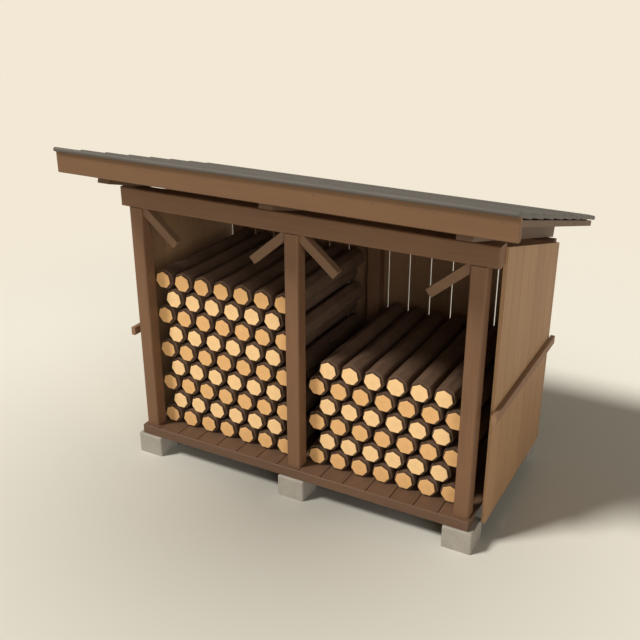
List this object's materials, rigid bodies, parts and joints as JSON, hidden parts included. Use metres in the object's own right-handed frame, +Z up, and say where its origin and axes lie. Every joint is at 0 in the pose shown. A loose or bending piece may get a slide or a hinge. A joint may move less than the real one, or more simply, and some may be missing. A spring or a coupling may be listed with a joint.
{
  "type": "log store",
  "caption": "Open-fronted timber log store: bays of stacked round firewood under a lapped board roof that slopes to the back, with slatted back and boarded sides, on concrete pads",
  "frame": {"origin": "middle of the store's outline, on the ground", "axes": "+X to the right as seen from the open front, +Y from the front to the back, +Z up"},
  "size_m": [3.008, 1.8773, 2.3321],
  "materials": {
    "cast_concrete": "cast, matt",
    "framing_timber": "brown stained, matt",
    "floor_timber": "brown stained, matt",
    "roof_boarding": "brown stained, matt",
    "fascia_timber": "brown stained, satin",
    "wall_boards": "weathered, matt",
    "wall_rails": "brown stained, matt",
    "roof_boards": "dark grey stained, matt",
    "firewood_tan": "dark bark with tan sawn ends",
    "firewood_pale": "dark bark with pale sawn ends"
  },
  "bodies": {
    "root": {"back_wall": "wall_boards", "fascia_board": "fascia_timber", "floor_boards": "floor_timber", "header_back": "framing_timber", "header_front": "framing_timber", "knee_brace_left": "framing_timber", "knee_brace_middle_left": "framing_timber", "knee_brace_middle_right": "framing_timber", "knee_brace_right": "framing_timber", "left_logs_narrow_rows": "firewood_pale", "left_logs_wide_rows": "firewood_tan", "pad_back_left": "cast_concrete", "pad_back_middle": "cast_concrete", "pad_back_right": "cast_concrete", "pad_front_left": "cast_concrete", "pad_front_middle": "cast_concrete", "pad_front_right": "cast_concrete", "post_back_left": "framing_timber", "post_back_middle": "framing_timber", "post_back_right": "framing_timber", "post_front_left": "framing_timber", "post_front_middle": "framing_timber", "post_front_right": "framing_timber", "rafter_left": "framing_timber", "rafter_middle": "framing_timber", "rafter_right": "framing_timber", "right_logs_narrow_rows": "firewood_pale", "right_logs_wide_rows": "firewood_tan", "roof_battens": "roof_boarding", "roof_boards": "roof_boards", "roof_deck": "roof_boarding", "side_rail_left": "wall_rails", "side_rail_right": "wall_rails", "side_wall_left": "wall_boards", "side_wall_right": "wall_boards", "sill_back": "floor_timber", "sill_front": "floor_timber"}
  },
  "joints": []
}
